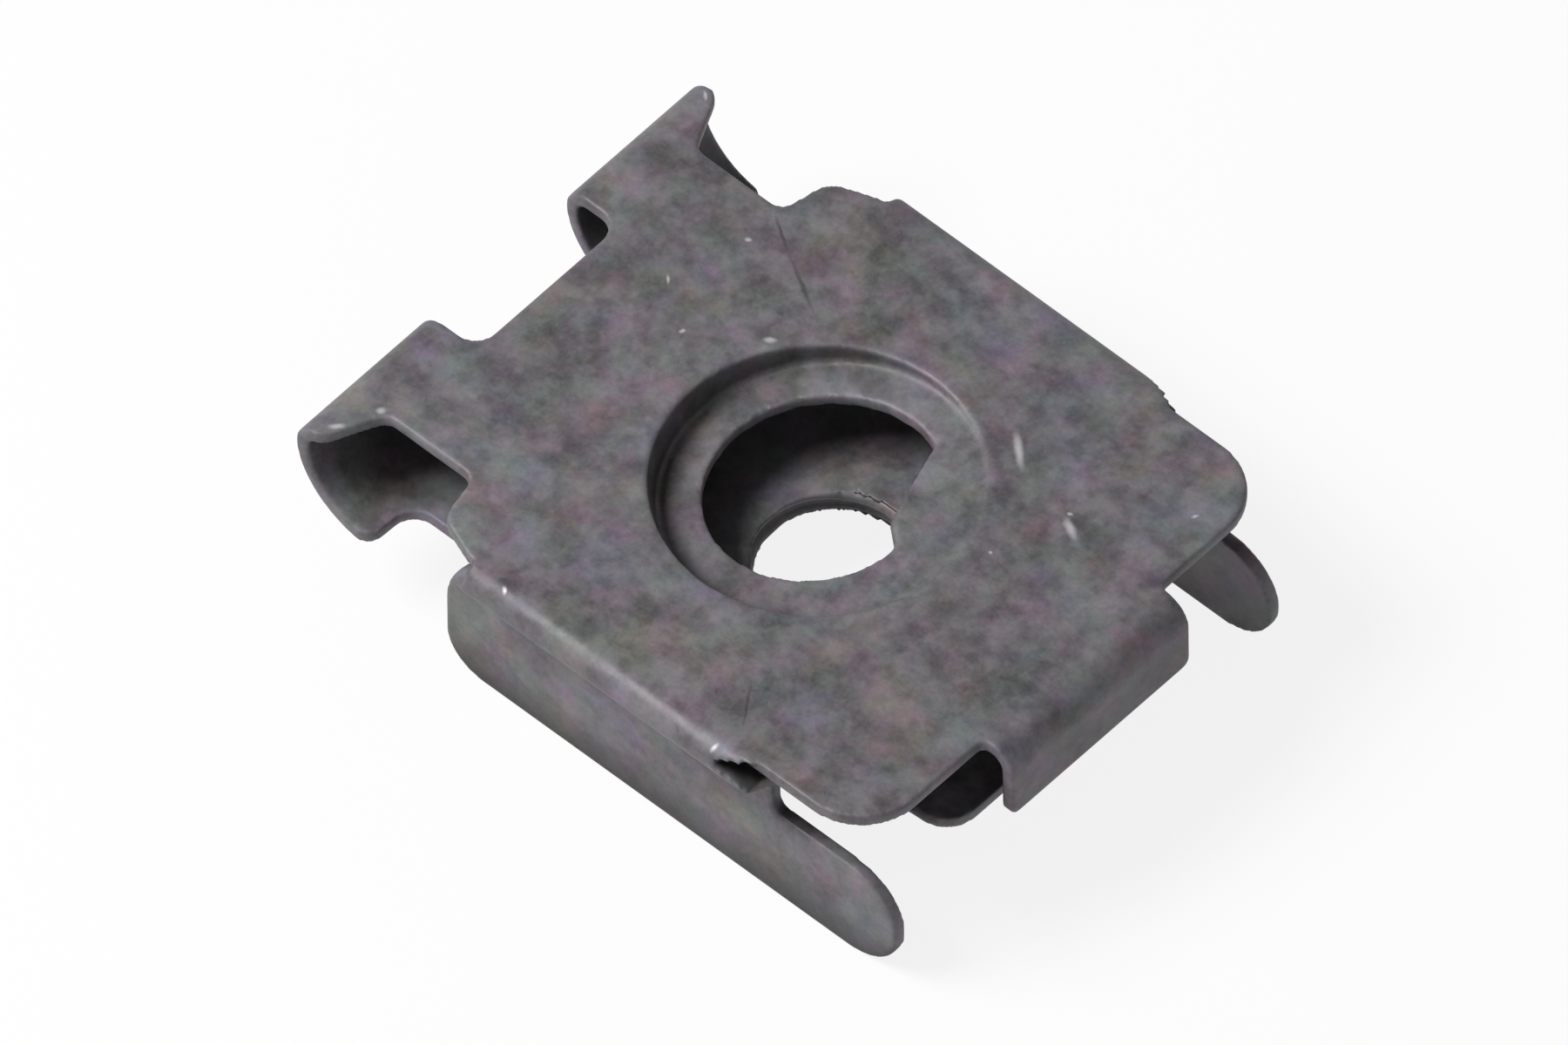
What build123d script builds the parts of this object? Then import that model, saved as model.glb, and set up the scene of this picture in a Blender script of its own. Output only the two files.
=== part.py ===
# U-clip speed nut: one strip of spring steel, folded over itself, with a dished clearance hole in its upper leg,
# a drawn and tapped collar in its lower leg, two side wings that run forward as free fingers, and a front lip.
# Origin: on the screw axis at the upper face of the lower leg, where the clipped panel seats.
# +X runs from the fold to the mouth, +Z up through the upper leg. Millimetres.
import math
import os

from build123d import *

# sheet and fold
sheet = 0.5
panel_gap = 3.0  # between the two legs
fold_reach = 14.45  # screw axis to the outside of the fold
fold_crown = 0.95  # outer radius where the fold meets the upper leg
ear_half = 9.3  # half width over the two folded straps
ear_corner = 0.6
window_half = 3.3  # half width of the window between the straps
window_end = 12.15  # screw axis to the window's inner edge
window_corner = 0.75

# upper leg
half_width = 9.6
upper_ear_end = 13.4
waist_start = 12.4  # relief notches between the straps and the wings
waist_end = 8.75
waist_half = 7.2
waist_corner = 0.5
shoulder_start = 8.4
shoulder_half = 9.0
shoulder_end = 6.8
shoulder_corner = 0.9
plate_end = 10.25
lobe_corner = 2.3

# lower leg
lower_ear_end = 11.35
lower_notch = 11.25  # straight step from the strap to the leg
lower_notch_corner = 0.8
leg_half = 7.3
leg_end = 10.1
leg_front_half = 5.5
leg_corner = 1.2

# front lip
lip_half = 4.15
lip_face = 11.5  # screw axis to the lip's outer face
lip_bend = 1.0  # outer radius
lip_drop = 2.95  # plate top to the lip's lower edge
lip_corner = 0.35

# side wings and fingers
wing_bend = 0.7  # outer radius
wing_lean = 62  # degrees past vertical that the sheet tucks in under the plate
wing_flare = 0.6  # radius that brings the wall back to vertical
wing_foot_half = 9.0  # half width over the vertical walls
wing_drop = 7.2  # plate top to the wing's lower edge
wing_top_back = 6.5
wing_back = 8.35
wing_back_corner = 1.5
wing_back_curve = 3.0
finger_tip = 10.9
finger_width = 4.12
finger_flat = 0.01  # flat left at the middle of the finger's rounded tip
slot_back = 5.6  # closed end of the slot between finger and plate
slot_corner = 0.45
relief_end = 3.9  # notch that frees the bend from the slot
relief_depth = 1.05

# tapped collar
bore_radius = 2.5
collar_wall = 0.6
collar_length = 0.95
collar_root = 0.4  # sweep of the sheet into the collar

# dished hole
hole_offset = -0.6  # from the screw axis towards the fold
dish_radius = 5.4
dish_taper = 12
dish_depth = 0.65  # at the hole's axis
dish_tilt = 6.3
dish_low_side = 215  # degrees about +Z
hole_radius_open = 4.0  # the rim closes in as a spiral, like one turn of thread
hole_radius_close = 3.38
tooth_radius = 2.62
tooth_open = 66
tooth_peak = 12
tooth_close = -2

plate_top = panel_gap + sheet
plate_mid = panel_gap + sheet / 2
leg_mid = -sheet / 2
wing_foot = plate_top - wing_drop
finger_top = plate_top - wing_drop + finger_width
cut = 2.0  # how far cutting shapes run past the sheet


def corners(sketch, x, reach=0.01):
    return sketch.vertices().filter_by(lambda v: abs(v.X - x) < reach)


# the strip's section: lower leg, fold with a tight crown and a wider heel, upper leg
fold_heel = panel_gap + sheet - fold_crown + sheet / 2
with BuildPart() as strip:
    with BuildSketch(Plane.XZ):
        with BuildLine():
            lower = Line((leg_end, leg_mid), (fold_heel + sheet / 2 - fold_reach, leg_mid))
            heel = JernArc(lower @ 1, lower % 1, fold_heel, -90)
            crown = JernArc(heel @ 1, heel % 1, fold_crown - sheet / 2, -90)
            Line(crown @ 1, (plate_end, plate_mid))
        trace(line_width=sheet)
    extrude(amount=half_width, both=True)

# what the blanking die leaves of each leg, seen from above
with BuildPart() as blank:
    with BuildSketch(Plane.XY.offset(panel_gap / 2)) as upper_plan:
        with BuildLine():
            Polyline(
                (-fold_reach - cut, 0),
                (-fold_reach - cut, ear_half),
                (-upper_ear_end, ear_half),
                (-waist_start, waist_half),
                (-waist_end, waist_half),
                (-shoulder_start, shoulder_half),
                (-shoulder_end, half_width),
                (plate_end, half_width),
                (plate_end, 0),
            )
            mirror(about=Plane.XZ)
        make_face()
        fillet(corners(upper_plan, -upper_ear_end), ear_corner)
        fillet(corners(upper_plan, -waist_start), waist_corner)
        fillet(corners(upper_plan, -waist_end), waist_corner)
        fillet(corners(upper_plan, -shoulder_start), shoulder_corner)
        fillet(corners(upper_plan, plate_end), lobe_corner)
    extrude(amount=plate_top)
    with BuildSketch(Plane.XY.offset(panel_gap / 2)) as lower_plan:
        with BuildLine():
            Polyline(
                (-fold_reach - cut, 0),
                (-fold_reach - cut, ear_half),
                (-lower_ear_end, ear_half),
                (-lower_notch, leg_half),
                (-waist_end, leg_half),
                (leg_end, leg_front_half),
                (leg_end, 0),
            )
            mirror(about=Plane.XZ)
        make_face()
        fillet(corners(lower_plan, -lower_ear_end), ear_corner)
        fillet(corners(lower_plan, -lower_notch), lower_notch_corner)
        fillet(corners(lower_plan, leg_end), leg_corner)
    extrude(amount=-plate_top)
    with BuildSketch(Plane.XY.offset(-plate_top)):
        with Locations((-window_end - fold_reach / 2, 0)):
            RectangleRounded(fold_reach, 2 * window_half, window_corner)
    extrude(amount=3 * plate_top, mode=Mode.SUBTRACT)

# one wing: bent down past vertical, leaning under the plate, then vertical again down to its foot
wing_radius = wing_bend - sheet / 2
bend_end = half_width + wing_radius * math.cos(math.radians(wing_lean))
flare_gain = wing_flare * (1 - math.cos(math.radians(wing_lean)))
lean_run = (bend_end - flare_gain - wing_foot_half + sheet / 2) / math.sin(math.radians(wing_lean))
with BuildPart() as wing:
    with BuildSketch(Plane.YZ.offset(-wing_back - cut)):
        with BuildLine():
            root = Line((half_width - cut, plate_mid), (half_width, plate_mid))
            bend = JernArc(root @ 1, root % 1, wing_radius, -(90 + wing_lean))
            lean = PolarLine(bend @ 1, lean_run, direction=bend % 1)
            flare = JernArc(lean @ 1, lean % 1, wing_flare, wing_lean)
            PolarLine(flare @ 1, wing_drop, direction=flare % 1)
        trace(line_width=sheet)
    extrude(amount=wing_back + finger_tip + 2 * cut)
    with BuildSketch(Plane.XZ.offset(-half_width - cut)) as wing_side:
        with BuildLine():
            Polyline(
                (-wing_top_back, plate_top + cut),
                (-wing_top_back, plate_top - wing_bend),
                (-wing_back, finger_top),
                (-wing_back, wing_foot),
                (finger_tip, wing_foot),
                (finger_tip, finger_top),
                (slot_back, finger_top),
                (slot_back, plate_top - relief_depth),
                (relief_end, plate_top - relief_depth / 2),
                (slot_back, plate_top),
                (slot_back, plate_top + cut),
                close=True,
            )
        make_face()
        fillet(corners(wing_side, finger_tip), (finger_width - finger_flat) / 2)
        fillet(corners(wing_side, slot_back).sort_by(Axis.Y)[0], slot_corner)
        fillet(corners(wing_side, -wing_back).sort_by(Axis.Y)[0], wing_back_corner)
        fillet(corners(wing_side, -wing_back).sort_by(Axis.Y)[-1], wing_back_curve)
    extrude(amount=wing_drop + 2 * cut, mode=Mode.INTERSECT)

# the lip bent down from the middle of the upper leg's front edge
with BuildPart() as lip:
    with BuildSketch(Plane.XZ):
        with BuildLine():
            lead = Line((plate_end - sheet, plate_mid), (lip_face - lip_bend, plate_mid))
            turn = JernArc(lead @ 1, lead % 1, lip_bend - sheet / 2, -90)
            Line(turn @ 1, (lip_face - sheet / 2, plate_top - lip_drop))
        trace(line_width=sheet)
    extrude(amount=lip_half, both=True)
    fillet(lip.edges().filter_by(Axis.X).group_by(Axis.Z)[0], lip_corner)

# the dish pressed into the upper leg: its floor leans, so it fades out towards the mouth
floor_lean = math.radians(dish_tilt)
low_side = math.radians(dish_low_side)
dish_floor = Plane(
    origin=(hole_offset, 0, plate_top - dish_depth),
    z_dir=(
        math.sin(floor_lean) * math.cos(low_side),
        math.sin(floor_lean) * math.sin(low_side),
        math.cos(floor_lean),
    ),
)
with BuildPart() as dish_hollow:
    with BuildSketch(Plane.XY.offset(plate_top)):
        with Locations((hole_offset, 0)):
            Circle(dish_radius)
    extrude(amount=-plate_top, taper=dish_taper)
    split(bisect_by=dish_floor, keep=Keep.TOP)

with BuildPart() as dish_shell:
    with BuildSketch(Plane.XY.offset(plate_top)):
        with Locations((hole_offset, 0)):
            Circle(dish_radius + sheet)
    extrude(amount=-plate_top, taper=dish_taper)
    split(bisect_by=dish_floor.offset(-sheet), keep=Keep.TOP)


def rim_point(radius, angle):
    turn = math.radians(angle)
    return (hole_offset + radius * math.cos(turn), radius * math.sin(turn))


# the hole through the dish: a spiral rim that ends in a stepped tooth
rim_steps = 8
rim_close = 360 + tooth_close
with BuildPart() as hole:
    with BuildSketch(Plane.XY.offset(panel_gap / 2)):
        with BuildLine():
            rim = Spline(
                *[
                    rim_point(
                        hole_radius_open + (hole_radius_close - hole_radius_open) * step / rim_steps,
                        tooth_open + (rim_close - tooth_open) * step / rim_steps,
                    )
                    for step in range(rim_steps + 1)
                ]
            )
            Polyline(rim @ 1, rim_point(tooth_radius, tooth_peak), rim @ 0)
        make_face()
    extrude(amount=plate_top)

# the collar drawn down out of the lower leg
with BuildPart() as collar:
    with BuildSketch(Plane.XZ):
        with BuildLine():
            outer = bore_radius + collar_wall
            face = Polyline((bore_radius, -collar_length), (bore_radius, 0), (outer + collar_root, 0))
            flank = Line(face @ 1, (outer + collar_root, -sheet))
            sweep_in = Line(flank @ 1, (outer, -sheet - collar_root))
            Polyline(sweep_in @ 1, (outer, -collar_length), face @ 0)
        make_face()
    revolve(axis=Axis.Z)

with BuildPart() as clip_nut:
    add(strip.part)
    add(blank.part, mode=Mode.INTERSECT)
    add(wing.part)
    mirror(wing.part, about=Plane.XZ)
    add(lip.part)
    add(dish_shell.part)
    add(dish_hollow.part, mode=Mode.SUBTRACT)
    add(hole.part, mode=Mode.SUBTRACT)
    add(collar.part)
    with Locations((0, 0, -collar_length)):
        Cylinder(bore_radius, collar_length, align=(Align.CENTER, Align.CENTER, Align.MIN), mode=Mode.SUBTRACT)

os.makedirs("parts", exist_ok=True)
clip_nut.part.label = "clip_nut"
export_step(clip_nut.part, "parts/clip_nut.step")
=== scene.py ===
# U-clip speed nut: the imported clip gets rolled edges and a formed thread, and is finished as
# grey phosphated spring steel with a few nicks, painted shade in its recesses and creases and a few
# painted highlights, on a white sweep.
import math

import bmesh
import bpy
import numpy as np
from mathutils import Matrix, Vector


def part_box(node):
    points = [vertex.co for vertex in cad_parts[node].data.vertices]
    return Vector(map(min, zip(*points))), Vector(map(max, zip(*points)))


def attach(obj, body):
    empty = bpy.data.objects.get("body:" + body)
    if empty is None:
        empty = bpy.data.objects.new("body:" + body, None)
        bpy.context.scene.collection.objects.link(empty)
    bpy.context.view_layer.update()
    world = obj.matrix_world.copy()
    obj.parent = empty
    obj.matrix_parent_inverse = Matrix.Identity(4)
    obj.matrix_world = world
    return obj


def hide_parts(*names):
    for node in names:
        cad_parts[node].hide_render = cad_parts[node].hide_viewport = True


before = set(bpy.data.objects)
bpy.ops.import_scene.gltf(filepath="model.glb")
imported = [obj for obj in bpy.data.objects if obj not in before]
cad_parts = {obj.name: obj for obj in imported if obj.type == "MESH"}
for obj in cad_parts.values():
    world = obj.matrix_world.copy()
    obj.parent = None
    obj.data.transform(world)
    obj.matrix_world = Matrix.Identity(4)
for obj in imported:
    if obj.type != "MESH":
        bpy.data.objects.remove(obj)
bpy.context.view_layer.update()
print("frame loaded")

mm = 0.001


class Sock:
    # a shader socket, so that sums and products of masks can be written plainly

    def __init__(self, tree, socket):
        self.tree = tree
        self.socket = socket

    def math(self, operation, *values):
        return self.tree.add("ShaderNodeMath", {"operation": operation}, dict(enumerate(values)))

    def __add__(self, other):
        return self.math("ADD", self, other)

    def __radd__(self, other):
        return self.math("ADD", other, self)

    def __sub__(self, other):
        return self.math("SUBTRACT", self, other)

    def __rsub__(self, other):
        return self.math("SUBTRACT", other, self)

    def __mul__(self, other):
        return self.math("MULTIPLY", self, other)

    def __rmul__(self, other):
        return self.math("MULTIPLY", other, self)


class Tree:
    # a material's nodes

    def __init__(self, name):
        self.material = bpy.data.materials.new(name)
        self.material.use_nodes = True
        self.nodes = self.material.node_tree.nodes
        self.links = self.material.node_tree.links
        self.nodes.clear()

    def add(self, kind, settings=None, values=None, out=0):
        # one node from its type, its settings and the values or links of its sockets
        node = self.nodes.new(kind)
        for key, value in (settings or {}).items():
            setattr(node, key, value)
        for key, value in (values or {}).items():
            if isinstance(value, Sock):
                self.links.new(value.socket, node.inputs[key])
            else:
                node.inputs[key].default_value = value
        return Sock(self, node.outputs[out]) if node.outputs else node

    def noise(self, point, size, detail=3.0, rough=0.6):
        # size is the width of one blotch
        return self.add(
            "ShaderNodeTexNoise",
            {"noise_dimensions": "3D"},
            {"Vector": point, "Scale": 1 / size, "Detail": detail, "Roughness": rough},
        )

    def ramp(self, value, low, high):
        # 0 below low and 1 above high, with a smooth step between
        return self.add(
            "ShaderNodeMapRange",
            {"interpolation_type": "SMOOTHSTEP"},
            {"Value": value, "From Min": low, "From Max": high},
        )

    def mix(self, mask, first, second, blend="MIX"):
        return self.add(
            "ShaderNodeMix",
            {"data_type": "RGBA", "blend_type": blend},
            {0: mask, 6: first, 7: second},
            out=2,
        )


clip = {
    "weld": 0.002 * mm,
    "voxel": 0.105 * mm,
    "rollSteps": 5,
    "faceLimit": 190000,
    "boreRadius": 2.5 * mm,
    "wallReach": 0.12 * mm,  # how far from the bore's radius a point still counts as its wall
    "threadPitch": 1.0 * mm,
    "threadDepth": 0.3 * mm,
    "collarLow": -0.95 * mm,
}


def cadCopy(node, name):
    # the node's loose triangles, welded into one closed skin
    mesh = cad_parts[node].data.copy()
    mesh.name = name
    piece = bpy.data.objects.new(name, mesh)
    bpy.context.scene.collection.objects.link(piece)
    work = bmesh.new()
    work.from_mesh(mesh)
    bmesh.ops.remove_doubles(work, verts=work.verts, dist=clip["weld"])
    work.to_mesh(mesh)
    work.free()
    mesh.materials.clear()
    return piece


def applyModifiers(piece):
    depsgraph = bpy.context.evaluated_depsgraph_get()
    mesh = bpy.data.meshes.new_from_object(piece.evaluated_get(depsgraph), depsgraph=depsgraph)
    piece.modifiers.clear()
    old = piece.data
    piece.data = mesh
    bpy.data.meshes.remove(old)


def readPoints(mesh):
    points = np.zeros(len(mesh.vertices) * 3, np.float32)
    mesh.vertices.foreach_get("co", points)
    return points.reshape(-1, 3).astype(float)


def formThread(mesh):
    # the bore's wall moves out by depth * triangle(z / pitch - angle / turn)
    points = readPoints(mesh)
    radius = np.hypot(points[:, 0], points[:, 1])
    angle = np.arctan2(points[:, 1], points[:, 0])
    turns = points[:, 2] / clip["threadPitch"] - angle / (2 * math.pi)
    wave = np.abs((turns % 1) * 2 - 1)
    onWall = np.abs(radius - clip["boreRadius"]) < clip["wallReach"]
    inCollar = (points[:, 2] > clip["collarLow"] - clip["wallReach"]) & (points[:, 2] < clip["wallReach"])
    push = clip["threadDepth"] * wave * (onWall & inCollar)
    points[:, :2] *= (1 + push / np.maximum(radius, clip["weld"]))[:, None]
    mesh.vertices.foreach_set("co", points.astype(np.float32).ravel())
    mesh.update()


def makeClip():
    piece = cadCopy("clip_nut", "clipNutSkin")
    skin = piece.modifiers.new("skin", "REMESH")
    skin.mode = "VOXEL"
    skin.voxel_size = clip["voxel"]
    roll = piece.modifiers.new("rolledEdges", "SMOOTH")
    roll.iterations = clip["rollSteps"]
    applyModifiers(piece)
    formThread(piece.data)
    thin = piece.modifiers.new("fewerFaces", "DECIMATE")
    thin.ratio = min(1.0, clip["faceLimit"] / (2 * len(piece.data.polygons)))
    applyModifiers(piece)
    piece.data.polygons.foreach_set("use_smooth", np.ones(len(piece.data.polygons), bool))
    print("clip surface:", len(piece.data.polygons), "faces")
    return piece


steel = {
    "dark": (0.05, 0.046, 0.05, 1),
    "pale": (0.225, 0.212, 0.228, 1),
    "cloud": 2.6 * mm,  # widths of the blotches, and each one's share of the tone
    "cloudShare": 0.32,
    "mottle": 0.95 * mm,
    "mottleShare": 0.34,
    "speck": 0.4 * mm,
    "speckShare": 0.22,
    "grain": 0.14 * mm,
    "grainShare": 0.12,
    "blotchSpan": (0.3, 0.7),  # noise levels between which the blotches turn from dark to pale
    "speckSpan": (0.25, 0.75),
    "grainSpan": (0.2, 0.8),
    "patch": 1.7 * mm,
    "warmthPlace": (0.07, 0.03, 0.05),
    "tints": [  # noise, its levels at no tint and at full tint, the tint's share and its colour
        ("hue", 0.5, 0.66, 0.55, (1.2, 0.86, 1.12, 1)),
        ("hue", 0.5, 0.36, 0.55, (0.84, 1.08, 0.9, 1)),
        ("warmth", 0.52, 0.68, 0.45, (1.18, 0.98, 0.8, 1)),
        ("warmth", 0.48, 0.34, 0.45, (0.86, 0.96, 1.2, 1)),
    ],
    # bare steel of the nicks, also the colour of the painted highlights
    "bareAndHighlight": (0.5, 0.49, 0.5, 1),
    # painted shade: the colour that the recesses are multiplied by
    "recessShade": (0.12, 0.105, 0.1, 1),
    "recessReach": 3.0 * mm,
    "recessSpan": (0.08, 0.5),
    "metallic": 0.2,
    "rough": 0.5,
    "roughSpread": 0.14,
    "bumpStrength": 0.4,
    "bumpHeight": 0.02 * mm,
}

# bright marks on the upper face, nicks and painted highlights: middle x, middle y, length, width and turn,
# in mm and degrees
nicksAndPaintedLight = {
    "marks": [
        (3.3, 5.1, 2.0, 0.42, -40),
        (6.6, 3.9, 1.3, 0.45, -28),
        (6.2, 4.3, 0.3, 0.2, 20),
        (-5.5, 3.1, 0.6, 0.35, 34),
        (-8.7, 5.6, 0.34, 0.26, 8),
        (-7.8, 1.5, 0.32, 0.24, 67),
        (-9.5, 2.7, 0.5, 0.16, -44),
        (9.2, 6.9, 0.36, 0.16, 73),
        # painted highlights on the near edge of the left roll
        (-13.3, -8.6, 0.75, 0.34, 45),
        (-12.7, -7.2, 0.5, 0.36, 48),
        # painted highlights at the two ends of the near bend's crest
        (-5.0, -9.85, 0.42, 0.2, -42),
        (4.1, -10.0, 0.42, 0.2, 65),
        # nicks
        (-13.6, 8.9, 0.6, 0.16, -42),
        (5.4, 1.5, 0.2, 0.2, 0),
    ],
    # lines of painted shade along shallow creases, which the bump also dents
    "creases": [
        (-8.1, 6.5, 2.0, 0.22, -33),
        (-6.2, 5.4, 3.4, 0.26, -30),
        (3.8, -8.1, 2.6, 0.2, -56),
    ],
    "faceLevel": 3.45,
    "reach": 0.55,
    "ragged": 0.16 * mm,
    "fade": 0.9,
    "nickAndHighlightShare": 0.85,
    "nickGloss": 0.12,
    "nickDepth": 0.8,
    "creaseShadeShare": 0.75,
}


def strokes(tree, place, marks):
    # the sum of soft ellipses, each 1 at its middle and 0 from its rim outwards
    total = None
    for x, y, length, width, turn in marks:
        local = tree.add(
            "ShaderNodeMapping",
            {"vector_type": "TEXTURE"},
            {
                "Vector": place,
                "Location": (x * mm, y * mm, nicksAndPaintedLight["faceLevel"] * mm),
                "Rotation": (0, 0, math.radians(turn)),
                "Scale": (length / 2 * mm, width / 2 * mm, nicksAndPaintedLight["reach"] * mm),
            },
        )
        reach = tree.add("ShaderNodeVectorMath", {"operation": "LENGTH"}, {0: local}, out=1)
        mark = tree.ramp(1 - reach, 0.0, nicksAndPaintedLight["fade"])
        total = mark if total is None else total.math("MAXIMUM", total, mark)
    return total


def phosphateAndPaintedLight():
    # tone = the blotches' shares added up, tinted in patches, then darkened in the recesses as painted
    # shade, and marked with nicks, painted highlights and lines of painted shade along creases
    tree = Tree("phosphatedSteelAndPaintedLight")
    place = tree.add("ShaderNodeTexCoord", out=3)
    cloud = tree.noise(place, steel["cloud"])
    mottle = tree.noise(place, steel["mottle"])
    speck = tree.noise(place, steel["speck"])
    grain = tree.noise(place, steel["grain"], 1.0)
    mottled = tree.ramp(mottle, *steel["blotchSpan"])
    tone = (
        tree.ramp(cloud, *steel["blotchSpan"]) * steel["cloudShare"]
        + mottled * steel["mottleShare"]
        + tree.ramp(speck, *steel["speckSpan"]) * steel["speckShare"]
        + tree.ramp(grain, *steel["grainSpan"]) * steel["grainShare"]
    )
    color = tree.mix(tone, steel["dark"], steel["pale"])
    warmthPlace = tree.add("ShaderNodeVectorMath", {}, {0: place, 1: steel["warmthPlace"]})
    patches = {"hue": tree.noise(place, steel["patch"]), "warmth": tree.noise(warmthPlace, steel["patch"])}
    for patch, plain, full, share, tint in steel["tints"]:
        color = tree.mix(tree.ramp(patches[patch], plain, full) * share, color, tint, "MULTIPLY")

    # painted shade: the colour is darkened where ambient occlusion finds a recess, standing in for the
    # shade that falls there
    reach = {"Distance": steel["recessReach"]}
    openness = tree.add("ShaderNodeAmbientOcclusion", {"samples": 6}, reach, out=1)
    color = tree.mix(tree.ramp(1 - openness, *steel["recessSpan"]), color, steel["recessShade"], "MULTIPLY")

    # the marks' rims wander a little
    wander = tree.add("ShaderNodeTexNoise", {}, {"Vector": place, "Scale": 1 / steel["speck"]}, out=1)
    shift = tree.add("ShaderNodeVectorMath", {"operation": "SUBTRACT"}, {0: wander, 1: (0.5, 0.5, 0.5)})
    shift = tree.add("ShaderNodeVectorMath", {"operation": "SCALE"}, {0: shift, 3: nicksAndPaintedLight["ragged"]})
    ragged = tree.add("ShaderNodeVectorMath", {}, {0: place, 1: shift})
    bright = strokes(tree, ragged, nicksAndPaintedLight["marks"])
    crease = strokes(tree, ragged, nicksAndPaintedLight["creases"])
    # painted shade: the creases are darkened towards the dark tone, standing in for the shade of a shallow
    # fold
    color = tree.mix(crease * nicksAndPaintedLight["creaseShadeShare"], color, steel["dark"])
    # the nicks show bare steel, and the same mask paints highlights on the left roll's edge and the near
    # bend's crest
    color = tree.mix(bright * nicksAndPaintedLight["nickAndHighlightShare"], color, steel["bareAndHighlight"])

    rough = steel["rough"] + mottled * steel["roughSpread"] - bright * nicksAndPaintedLight["nickGloss"]
    height = grain * 0.5 + speck * 0.5 - bright * nicksAndPaintedLight["nickDepth"] - crease
    bump = tree.add(
        "ShaderNodeBump",
        {},
        {"Strength": steel["bumpStrength"], "Distance": steel["bumpHeight"], "Height": height},
    )
    shader = tree.add(
        "ShaderNodeBsdfPrincipled",
        {},
        {"Base Color": color, "Metallic": steel["metallic"], "Roughness": rough, "Normal": bump},
    )
    tree.add("ShaderNodeOutputMaterial", {}, {"Surface": shader})
    return tree.material


clipPiece = makeClip()
clipPiece.data.materials.append(phosphateAndPaintedLight())
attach(clipPiece, "root")
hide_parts("clip_nut")
print("clip dressed")

studio = {
    "azimuth": 43.01,
    "elevation": 52.32,
    "roll": -0.7,
    "framePxPerMm": 36.417,
    "frameWidth": 1800,
    "aim": (-0.6 * mm, 0.0, 3.5 * mm),
    "aimAcross": 1.075 * mm,  # where the aim stands in the frame, right of and above its middle
    "aimAbove": 1.342 * mm,
    "distance": 0.5,
    "floorHalf": 1.4,
    "floorFlat": 0.7,
    "floorRise": 0.6,
    "floorSteps": 80,
    "floorColor": (0.8, 0.8, 0.8, 1),
    "floorWhite": 0.86,
    "worldLevel": 0.17,
    "keyFrom": (-0.8, 0.6, 0.8),  # right, up and towards the camera
    "keyPower": 1.5,
    "keySize": 0.16,
    "keyDistance": 0.35,
    "fillFrom": (-0.15, -0.5, 1.0),
    "fillPower": 0.05,
    "fillSize": 0.3,
    "fillDistance": 0.4,
}


def cameraAxes():
    azimuth = math.radians(studio["azimuth"])
    elevation = math.radians(studio["elevation"])
    roll = math.radians(studio["roll"])
    towards = Vector(
        (
            math.sin(azimuth) * math.cos(elevation),
            -math.cos(azimuth) * math.cos(elevation),
            math.sin(elevation),
        )
    )
    level = Vector((math.cos(azimuth), math.sin(azimuth), 0))
    right = level * math.cos(roll) + towards.cross(level) * math.sin(roll)
    return right, towards.cross(right), towards


def makeCamera():
    # an orthographic camera, set so that the aim stands at its place in the frame
    right, up, towards = cameraAxes()
    data = bpy.data.cameras.new("studioCamera")
    data.type = "ORTHO"
    data.ortho_scale = studio["frameWidth"] / studio["framePxPerMm"] * mm
    centre = Vector(studio["aim"]) - right * studio["aimAcross"] - up * studio["aimAbove"]
    camera = bpy.data.objects.new("studioCamera", data)
    turn = Matrix((right, up, towards)).transposed().to_4x4()
    camera.matrix_world = Matrix.Translation(centre + towards * studio["distance"]) @ turn
    bpy.context.scene.collection.objects.link(camera)
    bpy.context.scene.camera = camera


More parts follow.
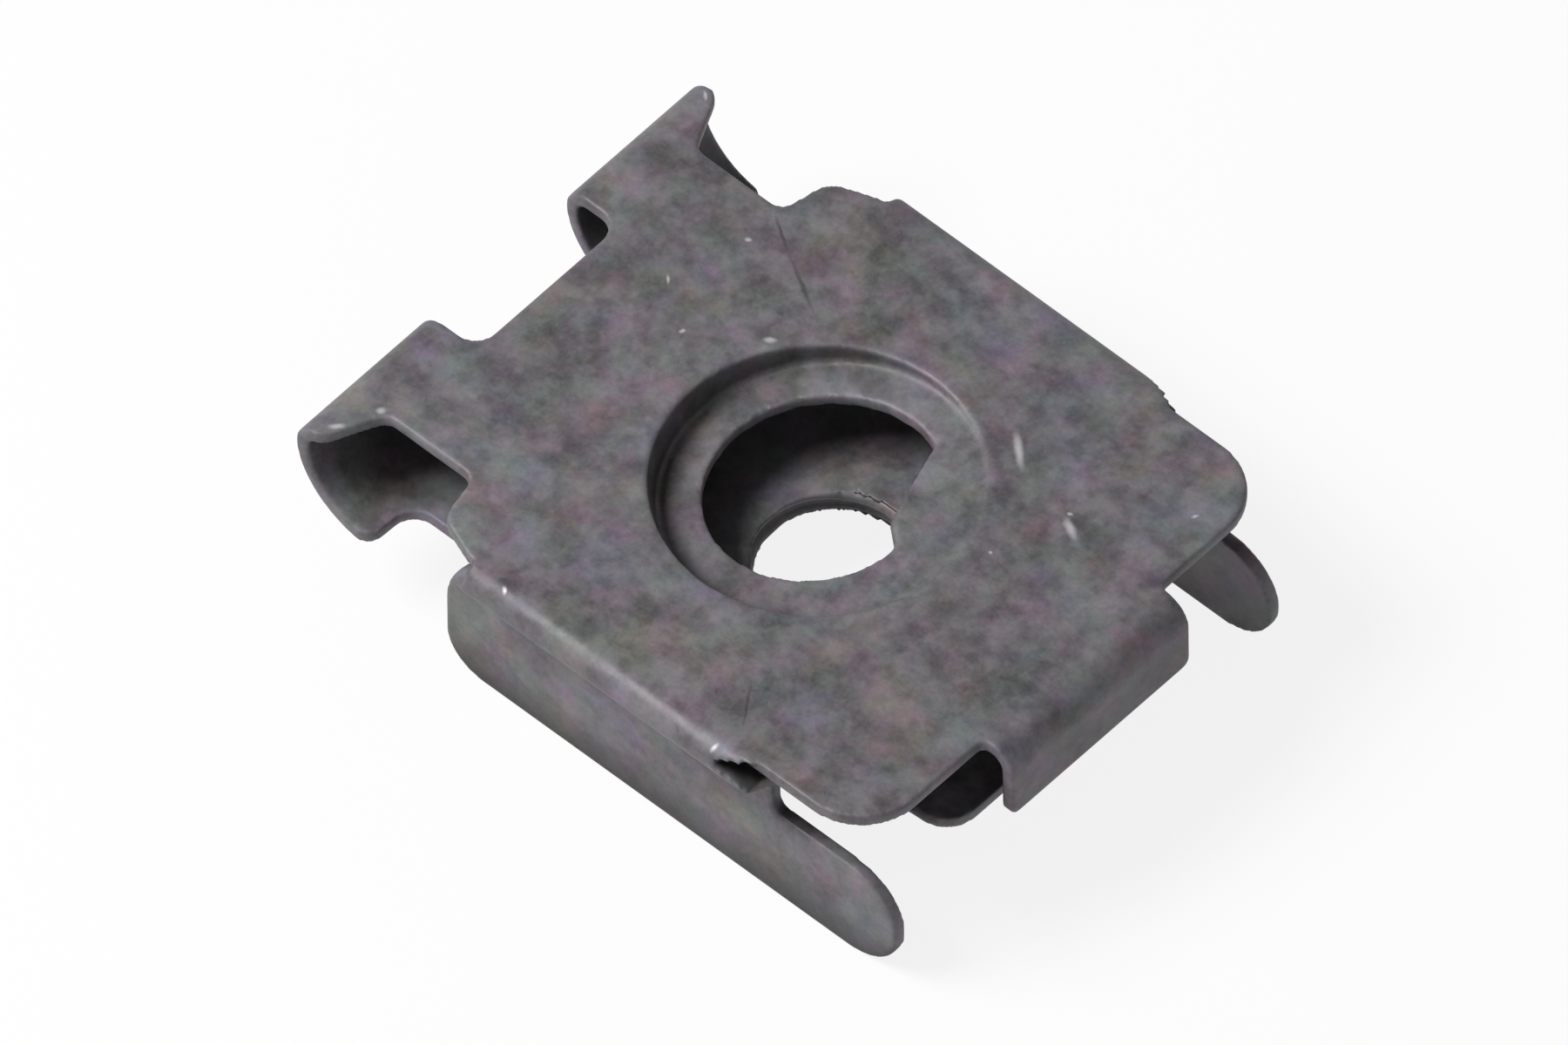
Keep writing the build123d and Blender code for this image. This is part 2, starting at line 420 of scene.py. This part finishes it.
def floorPaper():
    # white to the camera and in reflections, apart from the share that holds the shadow
    tree = Tree("floorPaper")
    rays = [
        tree.add("ShaderNodeLightPath", out=ray)
        for ray in ("Is Camera Ray", "Is Glossy Ray", "Is Transmission Ray")
    ]
    seen = rays[0].math("MAXIMUM", rays[0], rays[1].math("MAXIMUM", rays[1], rays[2]))
    paper = tree.add("ShaderNodeBsdfDiffuse", {}, {"Color": studio["floorColor"]})
    white = tree.add("ShaderNodeEmission", {}, {"Color": (1, 1, 1, 1), "Strength": 1.0})
    mixed = tree.add("ShaderNodeMixShader", {}, {0: seen * studio["floorWhite"], 1: paper, 2: white})
    tree.add("ShaderNodeOutputMaterial", {}, {"Surface": mixed})
    return tree.material


def makeFloor():
    # height = low + rise * smoothstep of the distance from the middle, past the flat
    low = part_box("clip_nut")[0][2]
    steps = studio["floorSteps"]
    across = np.linspace(-studio["floorHalf"], studio["floorHalf"], steps)
    x, y = np.meshgrid(across, across)
    share = (np.hypot(x, y) - studio["floorFlat"]) / (studio["floorHalf"] - studio["floorFlat"])
    share = np.clip(share, 0, 1)
    z = low + studio["floorRise"] * share**2 * (3 - 2 * share)
    index = np.arange(steps * steps).reshape(steps, steps)
    corners = (index[:-1, :-1], index[:-1, 1:], index[1:, 1:], index[1:, :-1])
    faces = np.stack([corner.ravel() for corner in corners], axis=1)
    mesh = bpy.data.meshes.new("floor")
    mesh.from_pydata(np.stack([x.ravel(), y.ravel(), z.ravel()], axis=1).tolist(), [], faces.tolist())
    mesh.polygons.foreach_set("use_smooth", np.ones(len(faces), bool))
    floor = bpy.data.objects.new("floor", mesh)
    bpy.context.scene.collection.objects.link(floor)
    mesh.materials.append(floorPaper())


def makeLamp(name):
    # a square lamp out along its direction, turned to the clip
    data = bpy.data.lights.new(name, "AREA")
    data.energy = studio[name + "Power"]
    data.size = studio[name + "Size"]
    aim = sum((axis * part for axis, part in zip(cameraAxes(), studio[name + "From"])), Vector())
    lamp = bpy.data.objects.new(name, data)
    lamp.location = aim.normalized() * studio[name + "Distance"]
    lamp.rotation_euler = aim.to_track_quat("Z", "Y").to_euler()
    bpy.context.scene.collection.objects.link(lamp)


def makeWorld():
    world = bpy.data.worlds.new("studio")
    bpy.context.scene.world = world
    world.use_nodes = True
    background = world.node_tree.nodes["Background"]
    background.inputs[0].default_value = (1, 1, 1, 1)
    background.inputs[1].default_value = studio["worldLevel"]


makeCamera()
makeFloor()
makeLamp("key")
makeLamp("fill")
makeWorld()
bpy.context.scene.view_settings.view_transform = "Standard"
print("studio ready")
